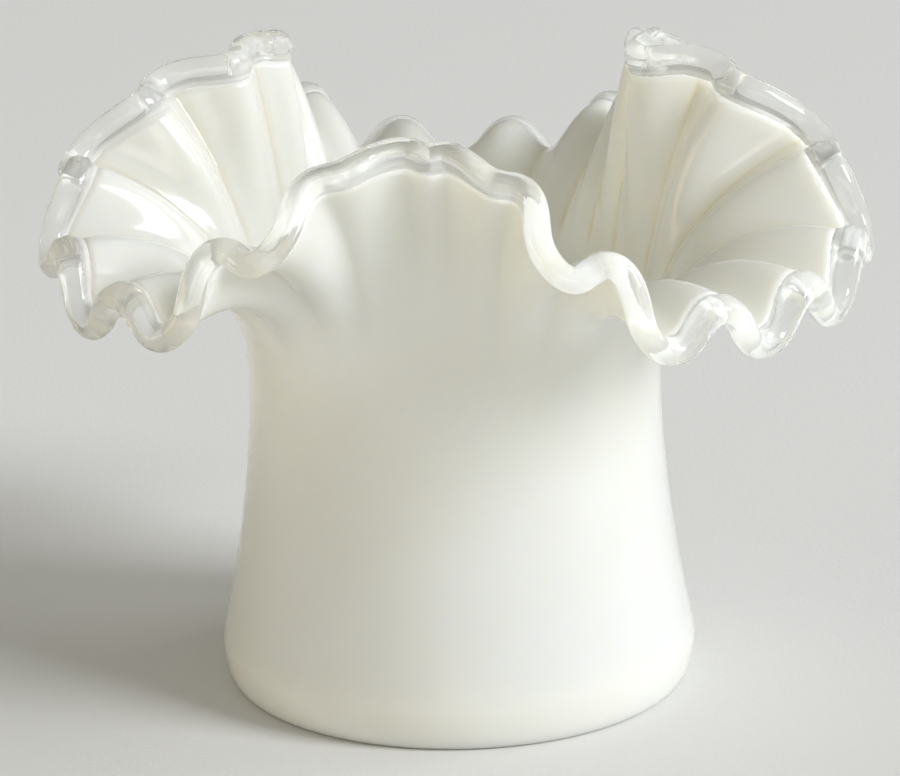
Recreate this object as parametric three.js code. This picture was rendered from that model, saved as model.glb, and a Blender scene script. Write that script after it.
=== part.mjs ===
// Top hat vase: a milk glass crown with a wide crimped brim that rises in three waves,
// and a thread of clear glass fused along the brim's edge as a crest.
// Millimetres. The vase stands on Z = 0 with its axis on Z, and its front looks along -Y.
import * as THREE from "three";

// The hat's crown, by its outside
const footRadius = 46; // the widest point, at the top of the foot's rounding
const footRise = 8.75; // height of the foot's rounding
const footTuck = 3; // how far the rounding draws in under the widest point
const ringWidth = 8; // the flat ring that the vase stands on
const kickUp = 0.8; // the underside inside the ring lies this much higher
const kickSlope = 1.2; // width of the slope from the ring up to the underside
const waistRadius = 39.6;
const waistHeight = 61; // here the crown ends and the brim starts to lean out
const sideSweep = 1.8; // 1 gives a straight cone, more brings the side upright sooner

// Thickness of the glass
const wallThickness = 3;
const floorThickness = 5;
const floorRounding = 7; // inside corner between floor and wall
const edgeThickness = 2.6; // the wall thins to this at the brim's edge

// The brim bends outwards over its whole width. Its lean is measured from upright at the tip.
const brimWidth = 55.6; // milk glass from the waist to the edge, along the bend
const droopLean = 121.5; // between the waves the brim turns past level and droops
const backDroopLean = 131; // at the back it droops most
const backHalfSpread = 33; // degrees to each side of the back where that fades to half
const waves = [
  // where each wave stands round the axis, its lean, and how far on each side it fades to half.
  // A steepness of 2 gives a plain bell, and more a flat top and steep sides.
  { at: -97.2, lean: 23, before: 21.8, after: 22.2, steepness: 2.6 },
  { at: 24, lean: 6, before: 24, after: 26, steepness: 2.4 },
  { at: 147.5, lean: 12.5, before: 24.5, after: 34, steepness: 2.4 },
];

// Crimps: folds pressed into the brim, each a hump inwards beside a lobe outwards
const crimps = 24;
const firstCrimp = -96; // degrees round the axis
const crimpDepth = 4.5; // half the height from lobe to hump on a level run at crimpRadius
const crimpRadius = 84;
const slopeGain = 0.05; // the folds deepen by this for each degree of lean per degree round
const crimpStart = 9; // from the waist, along the bend
const crimpTilt = 22; // degrees that the folds are pushed up from square to the glass
const crimpTurn = 0.4; // share by which the folds turn square to a wave's slope
const crimpSwing = 0.7; // how far a deep fold's flanks are drawn together, as in a river's loops
const swingLimit = 0.1; // share of a crimp by which they are drawn in at most
const crimpPinch = 0.07; // share of a second wave that narrows the humps
const crimpsByEdge = 0.7; // 0 spaces the crimps by angle, 1 by length along the edge
const calmAt = -97; // on top of the front wave the folds are shallower
const calmShare = 0.9; // by this share at most
const calmHalfSpread = 15; // degrees to each side where that fades to half
const calmSteepness = 6;

// The clear crest
const crestHeight = 5.8; // from the milk glass edge to the crest's tip, along the bend
const crestThickness = 4.8;
const crestSwell = 2; // over this height the crest thickens from the milk edge to its full body
const fuseGap = 0.3; // between the two glasses

// How finely the curved forms are cut into flat faces
const stepsPerCrimp = 8;
const crownShare = 2; // the plain crown has one face for this many of the brim's
const brimSteps = 9;
const sideSteps = 5;
const cornerSteps = 3;
const tipSteps = 4;

const columns = crimps * stepsPerCrimp;
const tipAlong = brimWidth + crestHeight;
const neckRadius = waistRadius - wallThickness / 2; // middle of the glass at the waist
const degrees = Math.PI / 180;

const sinc = (x) => (Math.abs(x) < 1e-6 ? 1 : Math.sin(x) / x);
const mix = (a, b, share) => a + (b - a) * share;
const smooth = (x) => x * x * (3 - 2 * x);
const clamp01 = (x) => Math.min(Math.max(x, 0), 1);

// Turn from one angle to another round the axis, between -180 and 180 degrees
const turnFrom = (from, to) => ((((to - from + 180) % 360) + 360) % 360) - 180;
const bell = (away, halfSpread, steepness) => 0.5 ** (Math.abs(away / halfSpread) ** steepness);

// Lean of the brim's tip at an angle round the axis, in degrees from upright
function leanAt(angle) {
  const atBack = bell(turnFrom(90, angle), backHalfSpread, 2);
  const droop = mix(droopLean, backDroopLean, atBack);
  let lean = droop;
  for (const { at, lean: raised, before, after, steepness } of waves) {
    const away = turnFrom(at, angle);
    lean -= (droop - raised) * bell(away, away < 0 ? before : after, steepness);
  }
  return lean;
}

// The uncrimped brim as a radius, a height and the lean there, by angle and distance from the waist
function brimLine(angle, along) {
  const lean = (leanAt(angle) * degrees * along) / tipAlong;
  return {
    radius: neckRadius + along * Math.sin(lean / 2) * sinc(lean / 2),
    height: waistHeight + along * sinc(lean),
    lean,
  };
}

// Angles round the axis at equal shares of the crimps, from the first crimp once round, and the
// length of the brim's tip
function spreadCrimps(count) {
  const walk = [];
  const fine = 1440;
  const last = new THREE.Vector3();
  const here = new THREE.Vector3();
  let travelled = 0;
  for (let i = 0; i <= fine; i++) {
    const angle = firstCrimp + (360 * i) / fine;
    const line = brimLine(angle, tipAlong);
    here.setFromCylindricalCoords(line.radius, angle * degrees, line.height);
    travelled += i ? here.distanceTo(last) : 0;
    walk.push({ angle, travelled });
    last.copy(here);
  }
  const share = (i) => mix(i / fine, walk[i].travelled / travelled, crimpsByEdge);
  const angles = [];
  for (let k = 0, i = 0; k <= count; k++) {
    while (i < fine - 1 && share(i + 1) < k / count) i++;
    const part = (k / count - share(i)) / (share(i + 1) - share(i));
    angles.push(mix(walk[i].angle, walk[i + 1].angle, part));
  }
  return { angles, tipLength: travelled };
}

const partsPerCrimp = 64;
const { angles: spreadAngles, tipLength } = spreadCrimps(crimps * partsPerCrimp);
const crimpWidth = tipLength / crimps; // along the tip, before it is folded

// Angle round the axis of a place counted in crimps from the first one
function angleOfCrimp(place) {
  const turns = Math.floor(place / crimps);
  const position = (place - turns * crimps) * partsPerCrimp;
  const below = Math.min(Math.floor(position), spreadAngles.length - 2);
  return mix(spreadAngles[below], spreadAngles[below + 1], position - below) + 360 * turns;
}

// The columns of points stand half a step beside the folds' tops, which cuts both flanks evenly
const placeOfColumn = (column) => (column + 0.5) / stepsPerCrimp;

// Depth of the folds at full strength
function foldDepth(angle, radius) {
  const steepness = Math.abs(leanAt(angle + 0.5) - leanAt(angle - 0.5));
  return ((crimpDepth * radius) / crimpRadius) * (1 + slopeGain * steepness);
}

// Middle of the crimped glass
function middlePoint(place, along) {
  const growth = smooth(clamp01((along - crimpStart) / (tipAlong - crimpStart)));
  const fold = 2 * Math.PI * place;
  const evenAngle = angleOfCrimp(place);
  const calm = calmShare * bell(turnFrom(calmAt, evenAngle), calmHalfSpread, calmSteepness);
  const strength = (1 - calm) * growth;
  const steep = (foldDepth(evenAngle, brimLine(evenAngle, along).radius) * strength) / crimpWidth;
  const swing = Math.min(crimpSwing * steep ** 2, swingLimit);
  const angle = angleOfCrimp(place + swing * Math.sin(2 * fold));
  const line = brimLine(angle, along);
  const wave = Math.cos(fold) + crimpPinch * (Math.cos(2 * fold) - 1);
  const depth = foldDepth(angle, line.radius);
  // Pushed in the plane through the axis, and partly sideways where the brim climbs a wave
  const direction = line.lean - crimpTilt * degrees;
  const [inward, upward] = [Math.cos(direction), Math.sin(direction)];
  const [behind, ahead] = [brimLine(angle - 0.25, along), brimLine(angle + 0.25, along)];
  const climb = (ahead.height - behind.height) * upward - (ahead.radius - behind.radius) * inward;
  const sideways = (-crimpTurn * climb) / (line.radius * 0.5 * degrees);
  const push = (depth * strength * wave) / Math.hypot(1, sideways);
  const radius = line.radius - push * inward;
  const turn = angle * degrees;
  return new THREE.Vector3(
    radius * Math.cos(turn) - push * sideways * Math.sin(turn),
    radius * Math.sin(turn) + push * sideways * Math.cos(turn),
    line.height + push * upward,
  );
}

// A point on the brim, set off from the middle of the glass: plus is the outside of the hat
function brimPoint(place, along, offset) {
  const [aside, onward] = [0.01, 0.1];
  const round = middlePoint(place + aside, along).sub(middlePoint(place - aside, along));
  const outward = middlePoint(place, along + onward).sub(middlePoint(place, along - onward));
  const normal = round.cross(outward).normalize();
  return middlePoint(place, along).addScaledVector(normal, offset);
}

const halfWall = (along) => mix(wallThickness, edgeThickness, along / brimWidth) / 2;

// Outside radius of the crown at a height between the foot's rounding and the waist
function crownRadius(height) {
  const climbed = (height - footRise) / (waistHeight - footRise);
  return waistRadius + (footRadius - waistRadius) * (1 - climbed) ** sideSweep;
}

const ringOfBrim = (along, offset) =>
  Array.from({ length: columns }, (_, i) => brimPoint(placeOfColumn(i), along, offset));

function ringOfCrown(radius, height) {
  return Array.from({ length: columns / crownShare }, (_, i) => {
    const turn = angleOfCrimp(placeOfColumn(i * crownShare)) * degrees;
    return new THREE.Vector3(radius * Math.cos(turn), radius * Math.sin(turn), height);
  });
}

// Faces between two rings, each given by its first point and its number of points. One ring may
// have several times as many points as the other. Each step is cut by its shorter diagonal, so
// that tight folds stay clean and two edges that face each other are cut alike.
function bandFaces(points, [lowFirst, lowCount], [highFirst, highCount]) {
  const faces = [];
  const steps = Math.min(lowCount, highCount);
  const low = (i) => lowFirst + (i % lowCount);
  const high = (i) => highFirst + (i % highCount);
  const apart = (i, j) => points[i].distanceTo(points[j]);
  for (let step = 0; step < steps; step++) {
    const [a, b] = [step, step + 1].map((edge) => (edge * lowCount) / steps);
    const [d, c] = [step, step + 1].map((edge) => (edge * highCount) / steps);
    const crossed = apart(low(b), high(d)) < apart(low(a), high(c));
    for (let i = a; i < b; i++) faces.push(low(i), low(i + 1), high(crossed ? d : c));
    for (let i = d; i < c; i++) faces.push(low(crossed ? b : a), high(i + 1), high(i));
  }
  return faces;
}

function rangesOf(rings) {
  let first = 0;
  return rings.map(({ length }) => [(first += length) - length, length]);
}

const facesUpTo = (points, ranges) =>
  ranges.slice(1).flatMap((range, i) => bandFaces(points, ranges[i], range));

// A flat disc over a ring, halved and halved again so that its faces stay broad
function discFaces([first, count], upwards) {
  const faces = [];
  const add = (a, b, c) => {
    const [p, q, r] = [a, b, c].map((i) => first + (i % count));
    faces.push(...(upwards ? [p, q, r] : [p, r, q]));
  };
  const fill = (from, to) => {
    if (to - from < 2) return;
    const middle = Math.floor((from + to) / 2);
    add(from, middle, to);
    fill(from, middle);
    fill(middle, to);
  };
  const thirds = [0, 1, 2, 3].map((third) => Math.round((third * count) / 3));
  add(thirds[0], thirds[1], thirds[2]);
  for (let third = 0; third < 3; third++) fill(thirds[third], thirds[third + 1]);
  return faces;
}

function solid(name, points, faces, material) {
  const geometry = new THREE.BufferGeometry();
  geometry.setFromPoints(points);
  geometry.setIndex(faces);
  geometry.computeVertexNormals();
  const mesh = new THREE.Mesh(geometry, material);
  mesh.name = name;
  return mesh;
}

function milkGlassBody() {
  const rings = [];
  // Underside and standing ring
  const ringOuter = footRadius - footTuck;
  const ringInner = ringOuter - ringWidth;
  rings.push(ringOfCrown(ringInner - kickSlope, kickUp));
  rings.push(ringOfCrown(ringInner, 0));
  rings.push(ringOfCrown(ringOuter, 0));
  // Rounding of the foot, a quarter of an ellipse
  for (let i = 1; i <= cornerSteps; i++) {
    const turn = (i / cornerSteps) * 90 * degrees;
    rings.push(ringOfCrown(ringOuter + footTuck * Math.sin(turn), footRise * (1 - Math.cos(turn))));
  }
  // Outside of the crown up to the waist, then of the brim up to its edge
  for (let i = 1; i < sideSteps; i++) {
    const height = mix(footRise, waistHeight, i / sideSteps);
    rings.push(ringOfCrown(crownRadius(height), height));
  }
  for (let i = 0; i <= brimSteps; i++) {
    const along = (brimWidth * i) / brimSteps;
    rings.push(ringOfBrim(along, halfWall(along)));
  }
  // Back down the inside
  for (let i = brimSteps; i >= 0; i--) {
    const along = (brimWidth * i) / brimSteps;
    rings.push(ringOfBrim(along, -halfWall(along)));
  }
  const cornerTop = floorThickness + floorRounding;
  for (let i = sideSteps - 1; i > 0; i--) {
    const height = mix(cornerTop, waistHeight, i / sideSteps);
    rings.push(ringOfCrown(crownRadius(height) - wallThickness, height));
  }
  const cornerRadius = crownRadius(cornerTop) - wallThickness - floorRounding;
  for (let i = 0; i <= cornerSteps; i++) {
    const turn = (i / cornerSteps) * 90 * degrees;
    const radius = cornerRadius + floorRounding * Math.cos(turn);
    rings.push(ringOfCrown(radius, cornerTop - floorRounding * Math.sin(turn)));
  }
  const points = rings.flat();
  const ranges = rangesOf(rings);
  const faces = [
    ...discFaces(ranges[0], false),
    ...facesUpTo(points, ranges),
    ...discFaces(ranges[ranges.length - 1], true),
  ];
  const milkGlass = new THREE.MeshStandardMaterial({ color: "#ecebe6", roughness: 0.3 });
  return solid("milk_glass_body", points, faces, milkGlass);
}

function clearCrestEdge() {
  const half = crestThickness / 2;
  const start = brimWidth + fuseGap;
  const shoulder = start + crestSwell;
  const tipCentre = tipAlong - half;
  const section = [
    [start, halfWall(brimWidth)],
    [shoulder, half],
  ];
  for (let i = 0; i <= tipSteps; i++) {
    const turn = (i / tipSteps) * 180 * degrees;
    section.push([tipCentre + half * Math.sin(turn), half * Math.cos(turn)]);
  }
  section.push([shoulder, -half], [start, -halfWall(brimWidth)]);
  const rings = section.map(([along, offset]) => ringOfBrim(along, offset));
  const points = rings.flat();
  const ranges = rangesOf(rings);
  const towardsMilk = bandFaces(points, ranges[ranges.length - 1], ranges[0]);
  const faces = [...facesUpTo(points, ranges), ...towardsMilk];
  const clearGlass = new THREE.MeshStandardMaterial({
    color: "#eef1ef",
    roughness: 0.05,
    transparent: true,
    opacity: 0.45,
  });
  return solid("clear_crest_edge", points, faces, clearGlass);
}

const vase = new THREE.Group();
vase.name = "top_hat_vase";
vase.add(milkGlassBody(), clearCrestEdge());
export default vase;
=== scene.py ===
"""Top hat vase: milk glass with a wide crimped brim and a clear glass crest.

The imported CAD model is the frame. Both of its solids are replaced by finer surfaces of the same
form, worked out from the same sizes. Sizes are in millimetres, meshes in metres. The vase stands
on Z = 0 with its axis on Z, and its front looks along -Y.
"""

import logging
import math
from dataclasses import dataclass, field
from enum import Enum

import bpy
import numpy as np
from mathutils import Matrix, Vector


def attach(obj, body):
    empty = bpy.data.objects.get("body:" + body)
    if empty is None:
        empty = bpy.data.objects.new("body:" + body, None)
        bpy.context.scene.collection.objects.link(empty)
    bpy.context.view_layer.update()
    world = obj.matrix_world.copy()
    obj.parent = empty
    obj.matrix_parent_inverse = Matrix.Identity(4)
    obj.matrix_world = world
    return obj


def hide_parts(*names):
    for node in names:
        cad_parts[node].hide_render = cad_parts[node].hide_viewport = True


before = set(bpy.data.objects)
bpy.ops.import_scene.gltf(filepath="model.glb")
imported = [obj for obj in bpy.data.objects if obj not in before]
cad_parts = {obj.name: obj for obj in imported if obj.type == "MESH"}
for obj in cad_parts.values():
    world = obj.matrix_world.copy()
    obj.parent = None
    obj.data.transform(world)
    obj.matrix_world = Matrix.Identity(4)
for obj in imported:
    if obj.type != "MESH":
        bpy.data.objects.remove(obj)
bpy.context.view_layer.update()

log = logging.getLogger("top_hat_vase")

MM = 0.001
# Steps in which the brim is measured: degrees, crimps and millimetres
ANGLE_STEP = 0.25
PLACE_STEP = 0.01
ALONG_STEP = 0.1
# Radius of the smallest ring round a pole, in millimetres
POLE_RADIUS = 2.0
NodeTree = bpy.types.NodeTree
Socket = bpy.types.NodeSocket
Array = np.ndarray


class Slot(Enum):
    """Material slots of the record."""

    MILK = "milk_glass"
    CLEAR = "clear_glass"


class Side(Enum):
    """Sides of the glass, as the sign of the offset from its middle."""

    OUTSIDE = 1.0
    INSIDE = -1.0


# Small tools


def linear(hex_colour: str) -> tuple[float, float, float, float]:
    """Turns an sRGB hex colour to linear values.

    Args:
        hex_colour: Six hex digits with a leading #.

    Returns:
        Red, green, blue and an alpha of 1.
    """
    parts = [int(hex_colour[i : i + 2], 16) / 255 for i in (1, 3, 5)]
    red, green, blue = (
        p / 12.92 if p <= 0.04045 else ((p + 0.055) / 1.055) ** 2.4 for p in parts
    )
    return red, green, blue, 1.0


def add(tree: NodeTree, kind: str, settings: dict | None = None, **inputs: object) -> bpy.types.Node:
    """Adds one node, sets its properties and fills or links its inputs.

    Args:
        tree: Node tree that gets the node.
        kind: Blender's class name of the node.
        settings: Properties of the node by name.
        inputs: Values or sockets by input name, with _ for a blank and a number as in_0.

    Returns:
        The new node.
    """
    node = tree.nodes.new(kind)
    for name, value in (settings or {}).items():
        setattr(node, name, value)
    for name, value in inputs.items():
        key = int(name[3:]) if name.startswith("in_") else name.replace("_", " ")
        if isinstance(value, Socket):
            tree.links.new(value, node.inputs[key])
        else:
            node.inputs[key].default_value = value
    return node


def ease(x: Array) -> Array:
    """Smooth step of a share, 3x^2 - 2x^3, held between 0 and 1."""
    x = np.clip(x, 0, 1)
    return x * x * (3 - 2 * x)


def mix(a: Array | float, b: Array | float, share: Array | float) -> Array:
    """Value a share of the way from a to b."""
    return a + (b - a) * share


def sinc(x: Array) -> Array:
    """Sine of x over x, 1 at x = 0."""
    return np.sinc(np.asarray(x) / np.pi)


# Form


@dataclass(frozen=True)
class Wave:
    """One wave of the brim: where it stands, its lean and how far it fades to half each way.

    A steepness of 2 gives a plain bell, and more a flat top and steep sides.
    """

    at: float
    lean: float
    before: float
    after: float
    steepness: float


@dataclass
class Crown:
    """The hat's crown, a body of revolution that widens to a rounded foot. Millimetres."""

    foot_radius: float = 46.0
    foot_rise: float = 8.75
    foot_tuck: float = 3.0
    ring_width: float = 8.0
    kick_up: float = 0.8
    kick_slope: float = 1.2
    waist_radius: float = 39.6
    waist_height: float = 61.0
    side_sweep: float = 1.8
    wall: float = 3.0
    floor: float = 5.0
    floor_rounding: float = 7.0
    hollow_margin: float = 0.6
    ring_margin: float = 0.4
    flat_rings: int = 8
    slope_rings: int = 7
    standing_rings: int = 4
    floor_rings: int = 7

    def radius_at(self, height: Array) -> Array:
        """Outside radius between the foot's rounding and the waist.

        The radius falls from the foot's to the waist's with the side_sweep power of what is left
        to climb.

        Args:
            height: Heights above the resting plane.

        Returns:
            Radii at these heights.
        """
        left = 1 - (height - self.foot_rise) / (self.waist_height - self.foot_rise)
        swept = np.clip(left, 0, 1) ** self.side_sweep
        return self.waist_radius + (self.foot_radius - self.waist_radius) * swept

    def outside(self, side_steps: int, foot_steps: int) -> Array:
        """Profile from the middle of the underside up to just below the waist.

        A flat hollow, a rounded step down to the standing ring, a quarter ellipse for the foot and
        the swept side.

        Args:
            side_steps: Points on the side.
            foot_steps: Points on the foot's rounding.

        Returns:
            Radius and height of each point.
        """
        outer = self.foot_radius - self.foot_tuck
        inner = outer - self.ring_width
        hollow = inner - self.kick_slope
        level = np.linspace(POLE_RADIUS, hollow - self.hollow_margin, self.flat_rings)
        flat = [(r, self.kick_up) for r in level]
        slope = np.linspace(0, 1, self.slope_rings)
        step = np.stack([mix(hollow, inner, slope), self.kick_up * (1 - ease(slope))], 1)
        level = np.linspace(
            inner + self.hollow_margin, outer - self.ring_margin, self.standing_rings
        )
        ring = [(r, 0.0) for r in level]
        turn = np.linspace(0, np.pi / 2, foot_steps)[1:]
        foot = np.stack([outer + self.foot_tuck * np.sin(turn), self.foot_rise * (1 - np.cos(turn))], 1)
        height = np.linspace(self.foot_rise, self.waist_height, side_steps)[1:-1]
        side = np.stack([self.radius_at(height), height], 1)
        return np.concatenate([flat, step, ring, foot, side])

    def inside(self, side_steps: int, corner_steps: int) -> Array:
        """Profile from just below the waist down the inside to the middle of the floor.

        The outside less the wall, a quarter circle and the flat floor.

        Args:
            side_steps: Points on the wall.
            corner_steps: Points on the quarter circle between wall and floor.

        Returns:
            Radius and height of each point.
        """
        top = self.floor + self.floor_rounding
        height = np.linspace(self.waist_height, top, side_steps)[1:]
        wall = np.stack([self.radius_at(height) - self.wall, height], 1)
        centre = float(self.radius_at(np.array(top))) - self.wall - self.floor_rounding
        turn = np.linspace(0, np.pi / 2, corner_steps)[1:]
        corner = np.stack(
            [centre + self.floor_rounding * np.cos(turn), top - self.floor_rounding * np.sin(turn)], 1
        )
        level = np.linspace(centre, POLE_RADIUS, self.floor_rings)[1:]
        flat = [(r, self.floor) for r in level]
        return np.concatenate([wall, corner, flat])


@dataclass
class Brim:
    """The brim: a wall that bends outwards, raised in waves and pressed into crimps."""

    crown: Crown
    width: float = 55.6
    crest: float = 5.8
    edge: float = 2.6
    droop: float = 121.5
    back_droop: float = 131.0
    back_spread: float = 33.0
    back: float = 90.0
    waves: tuple[Wave, ...] = (
        Wave(-97.2, 23.0, 21.8, 22.2, 2.6),
        Wave(24.0, 6.0, 24.0, 26.0, 2.4),
        Wave(147.5, 12.5, 24.5, 34.0, 2.4),
    )
    crimps: int = 24
    first_crimp: float = -96.0
    depth: float = 4.5
    depth_radius: float = 84.0
    slope_gain: float = 0.05
    start: float = 9.0
    tilt: float = 22.0
    turn: float = 0.4
    swing: float = 0.7
    swing_limit: float = 0.1
    pinch: float = 0.07
    by_edge: float = 0.7
    calm_at: float = -97.0
    calm_share: float = 0.9
    calm_spread: float = 15.0
    calm_steepness: float = 6.0
    flute_at: float = -95.0
    flute: float = 2.0
    flute_spread: float = 3.0
    flute_start: float = 20.0
    crease: float = 0.32
    crease_share: float = 0.12
    crease_start: float = 14.0
    crease_growth: float = 12.0
    crease_taper: float = 1.3
    spread: tuple[Array, Array] = field(init=False, repr=False)
    crimp_width: float = field(init=False)

    def __post_init__(self) -> None:
        """Spreads the crimps round the axis, between equal angles and equal lengths of the tip."""
        angle = self.first_crimp + np.linspace(0, 360, round(360 / ANGLE_STEP) + 1)
        radius, height, _ = self.line(angle, np.full_like(angle, self.tip))
        turn = np.radians(angle)
        rim = np.stack([radius * np.cos(turn), radius * np.sin(turn), height], -1)
        walked = np.concatenate([[0], np.cumsum(np.linalg.norm(np.diff(rim, axis=0), axis=1))])
        share = mix(np.linspace(0, 1, len(angle)), walked / walked[-1], self.by_edge)
        self.spread = (share * self.crimps, angle)
        self.crimp_width = walked[-1] / self.crimps

    @property
    def tip(self) -> float:
        """Distance from the waist to the crest's tip, along the bend."""
        return self.width + self.crest

    @property
    def neck(self) -> float:
        """Radius of the middle of the glass at the waist."""
        return self.crown.waist_radius - self.crown.wall / 2

    def lean_at(self, angle: Array) -> Array:
        """Lean of the tip from upright, in degrees.

        The droop, a little more at the back, less each wave's bell: half to the power of the
        distance over the half spread, itself to the power of steepness.

        Args:
            angle: Angles round the axis, in degrees.

        Returns:
            Lean at each angle.
        """
        away = (angle - self.back + 180) % 360 - 180
        droop = mix(self.droop, self.back_droop, 0.5 ** ((away / self.back_spread) ** 2))
        lean = droop.copy()
        for wave in self.waves:
            away = (angle - wave.at + 180) % 360 - 180
            spread = np.where(away < 0, wave.before, wave.after)
            lean -= (droop - wave.lean) * 0.5 ** (np.abs(away / spread) ** wave.steepness)
        return lean

    def line(self, angle: Array, along: Array) -> tuple[Array, Array, Array]:
        """The uncrimped brim, an arc whose lean grows evenly from 0 at the waist to the tip's.

        Args:
            angle: Angles round the axis, in degrees.
            along: Distances from the waist, along the bend.

        Returns:
            Radius, height and lean in radians.
        """
        lean = np.radians(self.lean_at(angle)) * along / self.tip
        radius = self.neck + along * np.sin(lean / 2) * sinc(lean / 2)
        return radius, self.crown.waist_height + along * sinc(lean), lean

    def angle_of(self, place: Array) -> Array:
        """Angle round the axis of a place counted in crimps from the first one.

        Args:
            place: Places, from a little under 0 to a little over the number of crimps.

        Returns:
            Angles in degrees.
        """
        turns = np.floor(place / self.crimps)
        return np.interp(place - turns * self.crimps, *self.spread) + 360 * turns

    def fold_depth(self, angle: Array, radius: Array) -> Array:
        """Depth of the folds at full strength, more where the brim climbs steeply.

        Args:
            angle: Angles round the axis, in degrees.
            radius: Radii of the plain brim.

        Returns:
            Half the height from lobe to hump.
        """
        step = 2 * ANGLE_STEP
        steep = np.abs(self.lean_at(angle + step) - self.lean_at(angle - step))
        return self.depth * radius / self.depth_radius * (1 + self.slope_gain * steep)

    def strength(self, place: Array, along: Array) -> Array:
        """Share of their full depth that the folds have.

        They grow from the crown to the tip by a smooth step, and are calmed on top of the front
        wave by a bell.

        Args:
            place: Places in crimps.
            along: Distances from the waist.

        Returns:
            Shares from 0 to 1.
        """
        growth = ease((along - self.start) / (self.tip - self.start))
        away = (self.angle_of(place) - self.calm_at + 180) % 360 - 180
        calm = self.calm_share * 0.5 ** (np.abs(away / self.calm_spread) ** self.calm_steepness)
        return (1 - calm) * growth

    def pressed(self, place: Array, along: Array) -> Array:
        """Strength of the folds at the tip, for every distance along."""
        return self.strength(place, np.full_like(along, self.tip))

    def middle(self, place: Array, along: Array) -> Array:
        """Middle of the crimped glass.

        The plain brim pushed by depth times a cosine per crimp, in the plane through the axis and
        partly sideways where the brim climbs a wave. Deep folds swing like a river's loops: their
        flanks are drawn together by the square of their steepness. A narrow flute, a bell across,
        stands out square to the glass on top of the front wave.

        Args:
            place: Places in crimps.
            along: Distances from the waist, of the same shape.

        Returns:
            Points with a last axis of 3.
        """
        fold = 2 * np.pi * place
        strength = self.strength(place, along)
        even = self.angle_of(place)
        steep = self.fold_depth(even, self.line(even, along)[0]) * strength / self.crimp_width
        swing = np.minimum(self.swing * steep**2, self.swing_limit)
        angle = self.angle_of(place + swing * np.sin(2 * fold))
        radius, height, lean = self.line(angle, along)
        wave = np.cos(fold) + self.pinch * (np.cos(2 * fold) - 1)
        depth = self.fold_depth(angle, radius)
        direction = lean - math.radians(self.tilt)
        inward, upward = np.cos(direction), np.sin(direction)
        behind_r, behind_z, _ = self.line(angle - ANGLE_STEP, along)
        ahead_r, ahead_z, _ = self.line(angle + ANGLE_STEP, along)
        climb = (ahead_z - behind_z) * upward - (ahead_r - behind_r) * inward
        sideways = -self.turn * climb / (radius * math.radians(2 * ANGLE_STEP))
        push = depth * strength * wave / np.hypot(1, sideways)
        away = (angle - self.flute_at + 180) % 360 - 180
        grown = ease((along - self.flute_start) / (self.tip - self.flute_start))
        flute = self.flute * grown * np.exp(-((away / self.flute_spread) ** 2))
        pushed = radius - push * inward + flute * np.cos(lean)
        cos, sin = np.cos(np.radians(angle)), np.sin(np.radians(angle))
        return np.stack(
            [
                pushed * cos - push * sideways * sin,
                pushed * sin + push * sideways * cos,
                height + push * upward - flute * np.sin(lean),
            ],
            -1,
        )

    def point(self, place: Array, along: Array, offset: Array) -> Array:
        """Points set off from the middle of the glass along its normal.

        Args:
            place: Places in crimps.
            along: Distances from the waist.
            offset: Distances to the outside, negative to the inside.

        Returns:
            Points with a last axis of 3.
        """
        place, along, offset = np.broadcast_arrays(place, along, offset)
        around = self.middle(place + PLACE_STEP, along) - self.middle(place - PLACE_STEP, along)
        onward = self.middle(place, along + ALONG_STEP) - self.middle(place, along - ALONG_STEP)
        normal = np.cross(around, onward)
        normal /= np.linalg.norm(normal, axis=-1, keepdims=True)
        return self.middle(place, along) + normal * offset[..., None]

    def half_wall(self, along: Array) -> Array:
        """Half the thickness of the milk glass, which thins evenly to the edge."""
        return mix(self.crown.wall, self.edge, np.asarray(along) / self.width) / 2

    def valley(self, place: Array) -> Array:
        """Distance from the middle of the nearest valley of the inside, in crimps."""
        return np.abs(place % 1 - 0.5)

    def crease_depth(self, place: Array, along: Array) -> Array:
        """How far the inside is nipped in along the valleys.

        A groove with straight flanks, crease deep, that starts above the crown by a smooth step
        and fades where the folds are calmed.

        Args:
            place: Places in crimps.
            along: Distances from the waist.

        Returns:
            Depths into the glass.
        """
        flank = np.clip(1 - self.valley(place) / self.crease_share, 0, 1) ** self.crease_taper
        grown = ease((along - self.crease_start) / self.crease_growth)
        return self.crease * flank * grown * self.pressed(place, along)


# Meshes


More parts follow.
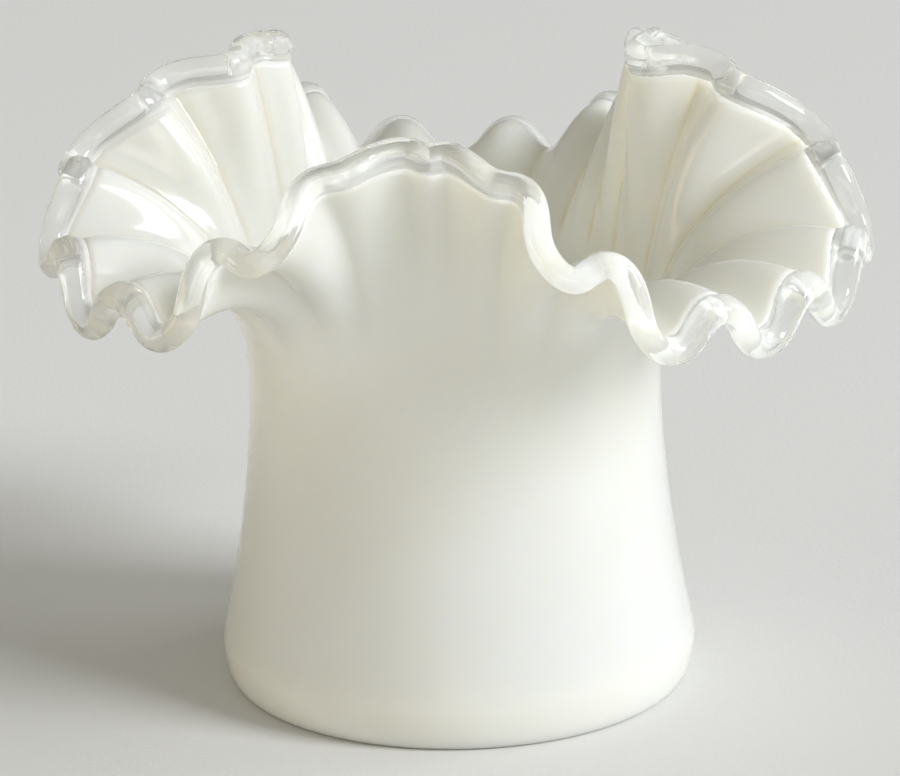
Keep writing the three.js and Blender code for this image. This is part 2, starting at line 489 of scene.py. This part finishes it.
def grid_mesh(
    name: str,
    points: Array,
    uv: Array,
    poles: tuple[Array, Array] | None = None,
    closed_rows: bool = False,
) -> bpy.types.Object:
    """Makes a smooth closed mesh from rings of points.

    Each ring is joined to the next by four-sided faces, and its last point to its first. The ends
    are closed by a point each, or the last ring is joined to the first.

    Args:
        name: Name of the object.
        points: Rings by columns by 3, in millimetres.
        uv: Rings by columns + 1 by 2.
        poles: Closing points before the first ring and after the last.
        closed_rows: True where the last ring joins the first.

    Returns:
        The new object, in the scene.
    """
    rings, columns = points.shape[:2]
    index = np.arange(rings * columns).reshape(rings, columns)
    if closed_rows:
        index = np.concatenate([index, index[:1]])
        uv = np.concatenate([uv, uv[:1] + [0, 1]])
    low, high = index[:-1], index[1:]
    quads = np.stack([low, np.roll(low, -1, 1), np.roll(high, -1, 1), high], -1).reshape(-1, 4)
    u0, u1 = uv[:-1], uv[1:]
    quad_uv = np.stack([u0[:, :-1], u0[:, 1:], u1[:, 1:], u1[:, :-1]], 2).reshape(-1, 4, 2)
    vertices, loops, loop_uv = points.reshape(-1, 3), [quads.ravel()], [quad_uv.reshape(-1, 2)]
    sizes = [np.full(len(quads), 4)]
    if poles is not None:
        count = len(vertices)
        vertices = np.concatenate([vertices, np.stack(poles)])
        ends = ((index[0], uv[0], count, True), (index[-1], uv[-1], count + 1, False))
        for ring, row, pole, turned in ends:
            ahead = np.roll(ring, -1)
            fan = [ahead, ring] if turned else [ring, ahead]
            loops.append(np.stack([*fan, np.full(columns, pole)], -1).ravel())
            fan_uv = [row[1:], row[:-1]] if turned else [row[:-1], row[1:]]
            loop_uv.append(np.stack([*fan_uv, (row[:-1] + row[1:]) / 2], 1).reshape(-1, 2))
            sizes.append(np.full(columns, 3))
    mesh = bpy.data.meshes.new(name)
    size = np.concatenate(sizes)
    corner = np.concatenate(loops)
    mesh.vertices.add(len(vertices))
    mesh.vertices.foreach_set("co", (vertices * MM).astype(np.float32).ravel())
    mesh.loops.add(len(corner))
    mesh.loops.foreach_set("vertex_index", corner.astype(np.int32))
    mesh.polygons.add(len(size))
    mesh.polygons.foreach_set("loop_start", np.concatenate([[0], np.cumsum(size)[:-1]]).astype(np.int32))
    mesh.update(calc_edges=True)
    mesh.polygons.foreach_set("use_smooth", np.ones(len(size), bool))
    layer = mesh.uv_layers.new(name="glass")
    layer.data.foreach_set("uv", np.concatenate(loop_uv).astype(np.float32).ravel())
    mesh.validate()
    obj = bpy.data.objects.new(name, mesh)
    bpy.context.scene.collection.objects.link(obj)
    return obj


def point_attribute(obj: bpy.types.Object, name: str, values: Array) -> None:
    """Stores one number per vertex.

    Args:
        obj: Object with the mesh.
        name: Name of the attribute.
        values: Numbers in vertex order.
    """
    layer = obj.data.attributes.new(name, "FLOAT", "POINT")
    layer.data.foreach_set("value", values.astype(np.float32).ravel())


# Finishes


@dataclass(frozen=True)
class FirePolishedMilkGlass:
    """Opal glass, mould blown and fire polished.

    The eye gets a dense warm white whose light sinks in a few millimetres, a soft wide sheen and
    faint waviness from the mould, with the odd dark speck of ash in the glass. Painted warm shade
    darkens the valleys of the inside.
    """

    white: str = "#E9EAE5"
    shade: str = "#E4E4DC"
    # Painted shade: the warm dark colour of the valleys, and how far it is mixed in at most
    warm: str = "#CDBE9C"
    warmth: float = 0.5
    cloud_mm: float = 40.0
    cloud_share: float = 0.3
    sink_mm: float = 7.0
    sink_share: tuple[float, float, float] = (1.0, 0.9, 0.7)
    roughness: float = 0.14
    ior: float = 1.5
    ash: str = "#6E675B"
    ash_share: float = 0.55
    ash_apart_mm: float = 50 / 3
    ash_core_mm: float = 0.2
    ash_rim_mm: float = 0.5
    ash_rarity: float = 0.8
    swell_mm: float = 12.5
    swell_height_mm: float = 0.2
    swell_strength: float = 0.25
    painted_shade_name: str = "valley_painted_shade"

    def build(self) -> bpy.types.Material:
        """Makes the material.

        Returns:
            Milk glass.
        """
        material = bpy.data.materials.new("milk_glass_fire_polished")
        material.use_nodes = True
        tree = material.node_tree
        tree.nodes.clear()
        place = add(tree, "ShaderNodeTexCoord").outputs["Object"]
        # Cloudiness of the melt, clouds about 40 mm across
        cloud = add(
            tree,
            "ShaderNodeTexNoise",
            Vector=place,
            Scale=1 / (self.cloud_mm * MM),
            Detail=2.0,
            Roughness=0.5,
        )
        cloudy = add(
            tree,
            "ShaderNodeMapRange",
            Value=cloud.outputs["Fac"],
            From_Min=self.cloud_share,
            From_Max=1 - self.cloud_share,
        )
        tone = add(
            tree,
            "ShaderNodeMix",
            {"data_type": "RGBA"},
            Factor=cloudy.outputs[0],
            A=linear(self.shade),
            B=linear(self.white),
        )
        # Painted shade: warmer and darker in the valleys, where the glass was pinched, standing in for the
        # shade and the light caught between the folds
        valley_shade = add(tree, "ShaderNodeAttribute", {"attribute_name": self.painted_shade_name})
        share = add(
            tree,
            "ShaderNodeMath",
            {"operation": "MULTIPLY"},
            in_0=valley_shade.outputs["Fac"],
            in_1=self.warmth,
        )
        warmed = add(
            tree,
            "ShaderNodeMix",
            {"data_type": "RGBA"},
            Factor=share.outputs[0],
            A=tone.outputs["Result"],
            B=linear(self.warm),
        )
        # Specks of ash under a millimetre wide, a few on the whole vase
        speck = add(
            tree,
            "ShaderNodeTexVoronoi",
            Vector=place,
            Scale=1 / (self.ash_apart_mm * MM),
            Randomness=1.0,
        )
        near = add(
            tree,
            "ShaderNodeMapRange",
            {"interpolation_type": "SMOOTHSTEP"},
            Value=speck.outputs["Distance"],
            From_Min=self.ash_core_mm / self.ash_apart_mm,
            From_Max=self.ash_rim_mm / self.ash_apart_mm,
            To_Min=self.ash_share,
            To_Max=0.0,
        )
        chosen = add(
            tree,
            "ShaderNodeMath",
            {"operation": "GREATER_THAN"},
            in_0=add(tree, "ShaderNodeSeparateColor", Color=speck.outputs["Color"]).outputs["Red"],
            in_1=self.ash_rarity,
        )
        dark = add(
            tree, "ShaderNodeMath", {"operation": "MULTIPLY"}, in_0=near.outputs[0], in_1=chosen.outputs[0]
        )
        colour = add(
            tree,
            "ShaderNodeMix",
            {"data_type": "RGBA"},
            Factor=dark.outputs[0],
            A=warmed.outputs["Result"],
            B=linear(self.ash),
        )
        # Waviness left by the mould, swells about 12 mm across and 0.02 mm high
        swell = add(
            tree,
            "ShaderNodeTexNoise",
            Vector=place,
            Scale=1 / (self.swell_mm * MM),
            Detail=1.0,
            Roughness=0.4,
        )
        bump = add(
            tree,
            "ShaderNodeBump",
            Strength=self.swell_strength,
            Distance=self.swell_height_mm * MM,
            Height=swell.outputs["Fac"],
        )
        shader = add(
            tree,
            "ShaderNodeBsdfPrincipled",
            Base_Color=colour.outputs["Result"],
            Roughness=self.roughness,
            IOR=self.ior,
            Subsurface_Weight=1.0,
            Subsurface_Radius=self.sink_share,
            Subsurface_Scale=self.sink_mm * MM,
            Normal=bump.outputs["Normal"],
        )
        add(tree, "ShaderNodeOutputMaterial", Surface=shader.outputs[0])
        return material


@dataclass(frozen=True)
class FirePolishedClearGlass:
    """Clear soda glass, drawn on as a thread and fire polished.

    The eye gets a see-through band with bright thin lines along its rims and drawn streaks, hazy
    along the joint, and the backdrop shows through it bent and slightly greyed.
    """

    tint: str = "#F7F8F6"
    roughness: float = 0.05
    ior: float = 1.42
    clearness: float = 0.84
    hazed: float = 0.3
    haze_name: str = "milk_haze"
    streaks_per_crimp: float = 2.5
    streaks_round: float = 9.0
    streak_height_mm: float = 0.4
    streak_strength: float = 0.3
    shadow_tint: str = "#F2F3F1"

    def build(self) -> bpy.types.Material:
        """Makes the material.

        Returns:
            Clear glass that lets the lamps' light pass to what is behind it.
        """
        material = bpy.data.materials.new("clear_glass_fire_polished")
        material.use_nodes = True
        tree = material.node_tree
        tree.nodes.clear()
        sheet = add(tree, "ShaderNodeTexCoord").outputs["UV"]
        # Streaks drawn along the thread, about 2 mm across and 10 mm long
        grain = (self.streaks_per_crimp, self.streaks_round, 1.0)
        stretched = add(tree, "ShaderNodeMapping", Vector=sheet, Scale=grain)
        streak = add(
            tree, "ShaderNodeTexNoise", Vector=stretched.outputs["Vector"], Scale=1.0, Detail=2.0
        )
        bump = add(
            tree,
            "ShaderNodeBump",
            Strength=self.streak_strength,
            Distance=self.streak_height_mm * MM,
            Height=streak.outputs["Fac"],
        )
        # Haze along the joint, where the thread drew some milk glass with it
        haze = add(tree, "ShaderNodeAttribute", {"attribute_name": self.haze_name})
        clear = add(
            tree,
            "ShaderNodeMapRange",
            Value=haze.outputs["Fac"],
            To_Min=self.clearness,
            To_Max=self.hazed,
        )
        shader = add(
            tree,
            "ShaderNodeBsdfPrincipled",
            Base_Color=linear(self.tint),
            Roughness=self.roughness,
            IOR=self.ior,
            Transmission_Weight=clear.outputs[0],
            Normal=bump.outputs["Normal"],
        )
        through = add(tree, "ShaderNodeBsdfTransparent", Color=linear(self.shadow_tint))
        lamp_ray = add(tree, "ShaderNodeLightPath").outputs["Is Shadow Ray"]
        both = add(
            tree, "ShaderNodeMixShader", in_0=lamp_ray, in_1=shader.outputs[0], in_2=through.outputs[0]
        )
        add(tree, "ShaderNodeOutputMaterial", Surface=both.outputs[0])
        return material


@dataclass(frozen=True)
class PalePaper:
    """Matt drawing paper, pressed, as a pale grey sweep under and behind the vase.

    The eye gets a dull even sheet without any sheen. It is painted lighter between two places, in metres,
    for the brighter light further back.
    """

    # Colour under the vase, and the painted lighter colour towards the back
    colour: str = "#E5E5E3"
    far_colour: str = "#F0F0EF"
    dark_to: float = -0.06
    light_from: float = 0.2
    roughness: float = 0.9
    grain_mm: float = 10 / 9
    grain_height_mm: float = 0.2
    grain_strength: float = 0.3

    def build(self) -> bpy.types.Material:
        """Makes the material.

        Returns:
            Paper with a faint tooth.
        """
        material = bpy.data.materials.new("pale_paper_matt")
        material.use_nodes = True
        tree = material.node_tree
        tree.nodes.clear()
        place = add(tree, "ShaderNodeTexCoord").outputs["Object"]
        # Paper tooth, grains about 1 mm across so that it shows
        grain = add(
            tree, "ShaderNodeTexNoise", Vector=place, Scale=1 / (self.grain_mm * MM), Detail=2.0
        )
        bump = add(
            tree,
            "ShaderNodeBump",
            Strength=self.grain_strength,
            Distance=self.grain_height_mm * MM,
            Height=grain.outputs["Fac"],
        )
        # Painted light: the sheet is coloured lighter from under the vase towards the back, where more
        # light falls
        depth = add(tree, "ShaderNodeSeparateXYZ", Vector=place).outputs["Y"]
        back = add(
            tree,
            "ShaderNodeMapRange",
            {"interpolation_type": "SMOOTHSTEP"},
            Value=depth,
            From_Min=self.dark_to,
            From_Max=self.light_from,
        )
        colour = add(
            tree,
            "ShaderNodeMix",
            {"data_type": "RGBA"},
            Factor=back.outputs[0],
            A=linear(self.colour),
            B=linear(self.far_colour),
        )
        shader = add(
            tree,
            "ShaderNodeBsdfPrincipled",
            Base_Color=colour.outputs["Result"],
            Roughness=self.roughness,
            Normal=bump.outputs["Normal"],
        )
        add(tree, "ShaderNodeOutputMaterial", Surface=shader.outputs[0])
        return material


# Sub-assemblies


@dataclass(frozen=True)
class ValleyPaintedShade:
    """Painted shade in the valleys of the inside: how warm and dark the glass is coloured there.

    A thin line of painted shade in each valley within a wide soft band, and a smudge of painted
    shade where the valley starts. Shares of full warmth, widths in crimps, distances from the
    waist in millimetres.
    """

    line_share: float = 0.35
    line_width: float = 0.02
    band_share: float = 0.3
    band_width: float = 0.11
    start: float = 15.0
    growth: float = 12.0
    smudge_share: float = 0.7
    smudge_width: float = 0.07
    smudge_at: float = 20.0
    smudge_length: float = 2.8

    def share(self, brim: Brim, place: Array, along: Array) -> Array:
        """Painted shade on the brim: a bell across the valley for each mark, times steps along it.

        Args:
            brim: The brim that the marks lie on.
            place: Places in crimps.
            along: Distances from the waist.

        Returns:
            Shares from 0 to 1.
        """
        across = brim.valley(place)
        line = self.line_share * np.exp(-((across / self.line_width) ** 2))
        band = self.band_share * np.exp(-((across / self.band_width) ** 2))
        grown = ease((along - self.start) / self.growth)
        apart = (across / self.smudge_width) ** 2 + ((along - self.smudge_at) / self.smudge_length) ** 2
        smudge = self.smudge_share * np.exp(-apart)
        return np.clip(((line + band) * grown + smudge) * brim.pressed(place, along), 0, 1)


@dataclass
class MilkGlassBody:
    """Crown and brim in one wall of milk glass."""

    brim: Brim
    finish: FirePolishedMilkGlass
    # Painted shade in the valleys of the inside
    valley_shade: ValleyPaintedShade = ValleyPaintedShade()
    steps_per_crimp: int = 26
    crowding: float = 0.6
    brim_rows: int = 40
    side_rows: int = 20
    foot_rows: int = 9

    def places(self) -> Array:
        """Columns in crimps, crowded at the humps and lobes where the glass bends most."""
        even = np.arange(self.brim.crimps * self.steps_per_crimp) / self.steps_per_crimp
        return even - self.crowding / (4 * np.pi) * np.sin(4 * np.pi * even)

    def build(self) -> bpy.types.Object:
        """Makes the wall as one closed surface.

        Rings run from the middle of the underside up the outside, over the brim's edge and down
        the inside to the middle of the floor.

        Returns:
            The body.
        """
        crown, brim = self.brim.crown, self.brim
        place = self.places()
        columns = len(place)
        turn = np.radians(brim.angle_of(place))
        along = brim.width * np.linspace(0, 1, self.brim_rows)[:, None]

        def revolve(profile: Array) -> Array:
            """Carries a profile of radius and height round the axis."""
            radius, height = profile[:, :1], profile[:, 1:] * np.ones(columns)
            return np.stack([radius * np.cos(turn), radius * np.sin(turn), height], -1)

        outer = crown.outside(self.side_rows, self.foot_rows)
        inner = crown.inside(self.side_rows, self.foot_rows)
        half = brim.half_wall(along)
        nipped = half - brim.crease_depth(place[None], along)
        rings = [
            revolve(outer),
            brim.point(place[None], along, Side.OUTSIDE.value * half),
            brim.point(place[None], along[::-1], Side.INSIDE.value * nipped[::-1]),
            revolve(inner),
        ]
        points = np.concatenate(rings)
        walked = np.concatenate(
            [
                -np.linspace(1, 0, len(outer), endpoint=False),
                along[:, 0] / brim.width,
                2 - along[::-1, 0] / brim.width,
                2 + np.linspace(0, 1, len(inner) + 1)[1:],
            ]
        )
        u = np.append(place, brim.crimps)
        uv = np.stack(np.broadcast_arrays(u[None], walked[:, None]), -1)
        poles = (np.array([0, 0, crown.kick_up]), np.array([0, 0, crown.floor]))
        body = grid_mesh("milk_glass_body_fine", points, uv, poles)
        # Painted warm shade in the valleys of the inside, one share per point
        warmth = np.zeros(points.shape[:2])
        first = len(outer) + self.brim_rows
        warmth[first : first + self.brim_rows] = self.valley_shade.share(brim, place[None], along[::-1])
        point_attribute(body, self.finish.painted_shade_name, np.append(warmth, [0, 0]))
        return body

    def dress(self, body: bpy.types.Object) -> None:
        """Gives the body its finish and its place in the frame.

        Args:
            body: The built body.
        """
        body.data.materials.append(self.finish.build())
        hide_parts("milk_glass_body")
        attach(body, "root")


@dataclass
class ClearCrest:
    """Thread of clear glass fused along the brim's edge."""

    brim: Brim
    finish: FirePolishedClearGlass
    thickness: float = 4.8
    swell: float = 2.0
    overlap: float = 0.25
    tuck: float = 0.05
    steps_per_crimp: int = 40
    cheek_rows: int = 6
    tip_rows: int = 13
    haze_reach: float = 1.2

    def section(self) -> Array:
        """Half-round section: out of the milk edge, swelling to full thickness, round at the tip.

        Returns:
            Distance along the brim and offset of each point, closed.
        """
        half = self.thickness / 2
        start = self.brim.width - self.overlap
        edge = float(self.brim.half_wall(self.brim.width)) - self.tuck
        centre = self.brim.tip - half
        cheek = np.linspace(0, 1, self.cheek_rows)
        side_along = mix(start, centre, cheek)
        swollen = mix(edge, half, ease((side_along - self.brim.width) / self.swell))
        side = np.stack([side_along, swollen], 1)
        turn = np.linspace(0, np.pi, self.tip_rows)[1:-1]
        tip = np.stack([centre + half * np.sin(turn), half * np.cos(turn)], 1)
        return np.concatenate([side, tip, side[::-1] * [1, -1]])

    def build(self) -> bpy.types.Object:
        """Carries the section along the brim's edge.

        Returns:
            The crest.
        """
        columns = self.brim.crimps * self.steps_per_crimp
        place = np.arange(columns) / self.steps_per_crimp
        section = self.section()
        points = self.brim.point(place[None], section[:, :1], section[:, 1:])
        u = np.arange(columns + 1) / self.steps_per_crimp
        v = np.arange(len(section)) / len(section)
        uv = np.stack(np.broadcast_arrays(u[None], v[:, None]), -1)
        crest = grid_mesh("clear_crest_edge_fine", points, uv, closed_rows=True)
        # A bell over the distance from the joint
        haze = np.exp(-(((section[:, 0] - section[0, 0]) / self.haze_reach) ** 2))
        point_attribute(crest, self.finish.haze_name, np.repeat(haze, columns))
        return crest

    def dress(self, crest: bpy.types.Object) -> None:
        """Gives the crest its finish and its place in the frame.

        Args:
            crest: The built crest.
        """
        crest.data.materials.append(self.finish.build())
        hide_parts("clear_crest_edge")
        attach(crest, "root")


# Studio


@dataclass
class Lamp:
    """A soft box lamp that looks at a point of the vase. Degrees, metres, watts."""

    name: str
    azimuth: float
    elevation: float
    distance: float
    width: float
    height: float
    power: float
    colour: str = "#FFFFFF"
    aim: tuple[float, float, float] = (0.0, 0.0, 0.06)

    def build(self) -> bpy.types.Object:
        """Makes the lamp.

        Returns:
            The lamp, in the scene.
        """
        data = bpy.data.lights.new(self.name, "AREA")
        data.shape, data.size, data.size_y = "RECTANGLE", self.width, self.height
        data.energy, data.color = self.power, linear(self.colour)[:3]
        lamp = bpy.data.objects.new(self.name, data)
        a, e = math.radians(self.azimuth), math.radians(self.elevation)
        back = Vector((math.sin(a) * math.cos(e), -math.cos(a) * math.cos(e), math.sin(e)))
        lamp.location = Vector(self.aim) + back * self.distance
        lamp.rotation_euler = back.to_track_quat("Z", "Y").to_euler()
        bpy.context.scene.collection.objects.link(lamp)
        return lamp


@dataclass
class Studio:
    """Paper sweep, soft lamps and the camera at the photograph's angle."""

    paper: PalePaper
    floor_half_width: float = 3.0
    floor_points: int = 9
    floor_gap: float = 0.00005
    world_colour: str = "#FDFCF2"
    world_strength: float = 0.28
    lamps: tuple[Lamp, ...] = (
        Lamp("key_lamp", 64.0, 31.0, 8.0, 3.2, 3.2, 522.0, "#F7F9FD"),
        Lamp("rear_lamp", 106.0, 28.0, 8.0, 4.0, 4.0, 110.0, "#F7F9FD"),
        Lamp("low_reflector", -75.0, 7.0, 3.0, 3.0, 0.6, 17.0, "#FDE8C4"),
        Lamp("front_reflector", 10.0, 8.0, 3.0, 2.4, 0.6, 11.0, "#FFFBF4"),
    )
    # The photograph's view
    elevation: float = 17.713
    distance_mm: float = 1000.0
    focal_px: float = 5183.9
    width_px: int = 900
    aim_mm: tuple[float, float, float] = (-0.969, 0.0, 57.673)
    roll: float = -0.971
    sensor_mm: float = 36.0

    def lay_floor(self) -> None:
        """Lays the paper under the vase as one broad sheet."""
        count = self.floor_points
        row = np.linspace(-self.floor_half_width, self.floor_half_width, count)
        x, y = np.meshgrid(row, row)
        vertices = np.stack([x, y, np.full_like(x, -self.floor_gap)], -1).reshape(-1, 3)
        index = np.arange(count**2).reshape(count, count)
        faces = np.stack([index[:-1, :-1], index[:-1, 1:], index[1:, 1:], index[1:, :-1]], -1)
        mesh = bpy.data.meshes.new("paper_sweep")
        mesh.from_pydata(vertices.tolist(), [], faces.reshape(-1, 4).tolist())
        sheet = bpy.data.objects.new("paper_sweep", mesh)
        bpy.context.scene.collection.objects.link(sheet)
        mesh.materials.append(self.paper.build())

    def light(self) -> None:
        """Lights the vase: an even pale sky and the lamps."""
        world = bpy.data.worlds.new("pale_sky")
        bpy.context.scene.world = world
        world.use_nodes = True
        sky = world.node_tree.nodes["Background"]
        sky.inputs["Color"].default_value = linear(self.world_colour)
        sky.inputs["Strength"].default_value = self.world_strength
        for lamp in self.lamps:
            lamp.build()

    def aim_camera(self) -> None:
        """Sets the camera so that the vase lies in the frame as in the photograph."""
        data = bpy.data.cameras.new("camera")
        data.sensor_width = self.sensor_mm
        data.lens = self.focal_px * self.sensor_mm / self.width_px
        data.clip_start, data.clip_end = 0.01, 50.0
        camera = bpy.data.objects.new("camera", data)
        e, r = math.radians(self.elevation), math.radians(self.roll)
        back = Vector((0.0, -math.cos(e), math.sin(e)))
        right = Vector((1.0, 0.0, 0.0))
        up = back.cross(right)
        across = right * math.cos(r) + up * math.sin(r)
        upward = up * math.cos(r) - right * math.sin(r)
        turn = Matrix((across, upward, back)).transposed()
        camera.matrix_world = Matrix.Translation(
            Vector(self.aim_mm) * MM + back * self.distance_mm * MM
        ) @ turn.to_4x4()
        bpy.context.scene.collection.objects.link(camera)
        bpy.context.scene.camera = camera


def main() -> None:
    """Builds the vase and the studio around the frame."""
    logging.basicConfig(level=logging.INFO, format="%(name)s: %(message)s")
    brim = Brim(Crown())
    body = MilkGlassBody(brim, FirePolishedMilkGlass())
    crest = ClearCrest(brim, FirePolishedClearGlass())
    for part in (body, crest):
        piece = part.build()
        part.dress(piece)
        log.info("%s: %d faces", piece.name, len(piece.data.polygons))
    studio = Studio(PalePaper())
    studio.lay_floor()
    studio.light()
    studio.aim_camera()
    bpy.context.scene.view_settings.view_transform = "Standard"


if __name__ == "__main__":
    main()
